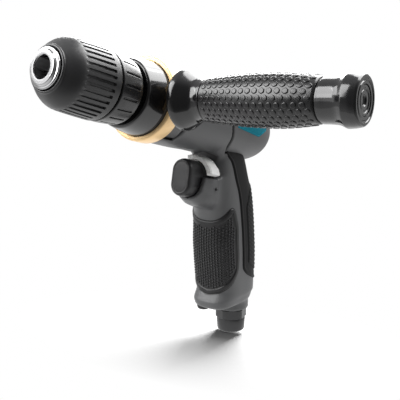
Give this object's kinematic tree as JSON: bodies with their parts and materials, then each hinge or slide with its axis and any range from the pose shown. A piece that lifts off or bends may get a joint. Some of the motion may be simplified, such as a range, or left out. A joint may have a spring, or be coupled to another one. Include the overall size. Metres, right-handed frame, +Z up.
{
  "type": "air drill",
  "caption": "Pistol-grip air drill with a keyless chuck, reversing lever over the trigger, rubber-covered grip and a clamp-on side handle with a studded rubber sleeve.",
  "frame": {"origin": "centre of the chuck's mouth, on the spindle's axis", "axes": "+X out of the chuck along the spindle, +Y to the side handle, the user's left, +Z up, away from the pistol grip"},
  "size_m": [0.2332, 0.1723, 0.1898],
  "materials": {
    "housing_grey": "fine-grained moulded composite",
    "gear_case_black": "smooth black paint",
    "gloss_black": "polished black plastic",
    "clamp_gold": "satin champagne-gold anodised",
    "chuck_black": "semi-matte moulded plastic",
    "chuck_steel": "bright turned steel",
    "tool_steel": "ground steel",
    "bearing_steel": "polished bearing steel",
    "fastener_black": "black oxide",
    "fastener_steel": "zinc-plated steel",
    "vane_resin": "phenolic resin",
    "rubber_black": "moulded grip rubber with raised studs",
    "insert_teal": "satin moulded plastic",
    "trigger_black": "smooth moulded plastic",
    "lever_cast": "rough die-cast",
    "valve_brass": "turned brass",
    "inlet_dark": "dark phosphate coating",
    "muffler_felt": "pressed felt",
    "cover_black": "moulded plastic"
  },
  "bodies": {
    "housing": {"main_housing": "housing_grey", "rear_cover": "housing_grey", "cover_screws": "fastener_steel", "gear_case": "gear_case_black", "front_collar": "gloss_black", "ring_gear": "tool_steel", "spindle_bearing_outer": "bearing_steel", "spindle_bearing_balls": "bearing_steel", "motor_cylinder": "tool_steel", "front_end_plate": "tool_steel", "rear_end_plate": "tool_steel", "rotor_bearing_outer": "bearing_steel", "rotor_bearing_balls": "bearing_steel", "side_insert_left": "insert_teal", "side_insert_right": "insert_teal", "grip_pad": "rubber_black", "grip_strip": "rubber_black", "throttle_bushing": "valve_brass", "throttle_spring": "fastener_steel", "cross_pin": "fastener_black", "inlet_bushing": "inlet_dark", "inlet_screen": "fastener_steel", "muffler_pad": "muffler_felt", "exhaust_cover": "cover_black", "base_screw": "fastener_black"},
    "spindle": {"spindle": "tool_steel", "planet_pins": "tool_steel", "spindle_bearing_inner": "bearing_steel", "chuck_body": "chuck_steel", "chuck_rear_sleeve": "chuck_black", "thrust_washer": "tool_steel", "lock_screw": "fastener_black"},
    "chuck_sleeve": {"chuck_front_sleeve": "chuck_black", "chuck_nut": "tool_steel"},
    "jaw_1": {"jaw_1": "tool_steel"},
    "jaw_2": {"jaw_2": "tool_steel"},
    "jaw_3": {"jaw_3": "tool_steel"},
    "planet_1": {"planet_1": "tool_steel"},
    "planet_2": {"planet_2": "tool_steel"},
    "planet_3": {"planet_3": "tool_steel"},
    "rotor": {"rotor": "tool_steel", "vanes": "vane_resin", "rotor_bearing_inner": "bearing_steel"},
    "trigger": {"trigger_cap": "trigger_black", "trigger_stem": "fastener_steel"},
    "reverse_lever": {"reverse_lever": "lever_cast", "reverse_valve": "valve_brass"},
    "handle_ring": {"clamp_ring": "clamp_gold"},
    "side_handle": {"handle_core": "gloss_black", "handle_rubber": "rubber_black", "handle_stud": "fastener_steel", "handle_end_plug": "gloss_black"}
  },
  "joints": [
    {"name": "spindle_spin", "type": "hinge", "parent": "housing", "child": "spindle", "pos_m": [-0.07, 0, 0], "axis": [1, 0, 0], "continuous": true},
    {"name": "rotor_spin", "type": "hinge", "parent": "housing", "child": "rotor", "pos_m": [-0.145, 0, 0], "axis": [1, 0, 0], "continuous": true},
    {"name": "planet_1_spin", "type": "hinge", "parent": "spindle", "child": "planet_1", "pos_m": [-0.098, 0, 0.012], "axis": [1, 0, 0], "continuous": true},
    {"name": "planet_2_spin", "type": "hinge", "parent": "spindle", "child": "planet_2", "pos_m": [-0.098, 0.01039, -0.006], "axis": [1, 0, 0], "continuous": true},
    {"name": "planet_3_spin", "type": "hinge", "parent": "spindle", "child": "planet_3", "pos_m": [-0.098, -0.01039, -0.006], "axis": [1, 0, 0], "continuous": true},
    {"name": "sleeve_turn", "type": "hinge", "parent": "spindle", "child": "chuck_sleeve", "pos_m": [-0.02, 0, 0], "axis": [1, 0, 0], "range_deg": [0, 3698]},
    {"name": "jaw_1_slide", "type": "slide", "parent": "spindle", "child": "jaw_1", "axis": [0.9659, 0, -0.2588], "range_m": [0, 0.02261]},
    {"name": "jaw_2_slide", "type": "slide", "parent": "spindle", "child": "jaw_2", "axis": [0.9659, 0.2241, 0.1294], "range_m": [0, 0.02261]},
    {"name": "jaw_3_slide", "type": "slide", "parent": "spindle", "child": "jaw_3", "axis": [0.9659, -0.2241, 0.1294], "range_m": [0, 0.02261]},
    {"name": "trigger_slide", "type": "slide", "parent": "housing", "child": "trigger", "axis": [-1, 0, 0], "range_m": [0, 0.007], "stiffness_N_per_m": 1500, "springref_m": -0.002, "deforming": ["throttle_spring"]},
    {"name": "lever_turn", "type": "hinge", "parent": "housing", "child": "reverse_lever", "pos_m": [-0.15, 0, -0.0446], "axis": [1, 0, 0], "range_deg": [0, 66]},
    {"name": "handle_swing", "type": "hinge", "parent": "housing", "child": "handle_ring", "pos_m": [-0.0846, 0, 0], "axis": [1, 0, 0], "continuous": true},
    {"name": "handle_twist", "type": "hinge", "parent": "handle_ring", "child": "side_handle", "pos_m": [-0.0846, 0.08, 0], "axis": [0, 1, 0], "range_deg": [0, 360]}
  ],
  "couplings": [
    {"joint": "rotor_spin", "follows": "spindle_spin", "ratio": 4},
    {"joint": "planet_1_spin", "follows": "spindle_spin", "ratio": -3},
    {"joint": "planet_2_spin", "follows": "spindle_spin", "ratio": -3},
    {"joint": "planet_3_spin", "follows": "spindle_spin", "ratio": -3},
    {"joint": "jaw_1_slide", "follows": "sleeve_turn", "m_per_rad": 0.00035014},
    {"joint": "jaw_2_slide", "follows": "sleeve_turn", "m_per_rad": 0.00035014},
    {"joint": "jaw_3_slide", "follows": "sleeve_turn", "m_per_rad": 0.00035014}
  ]
}
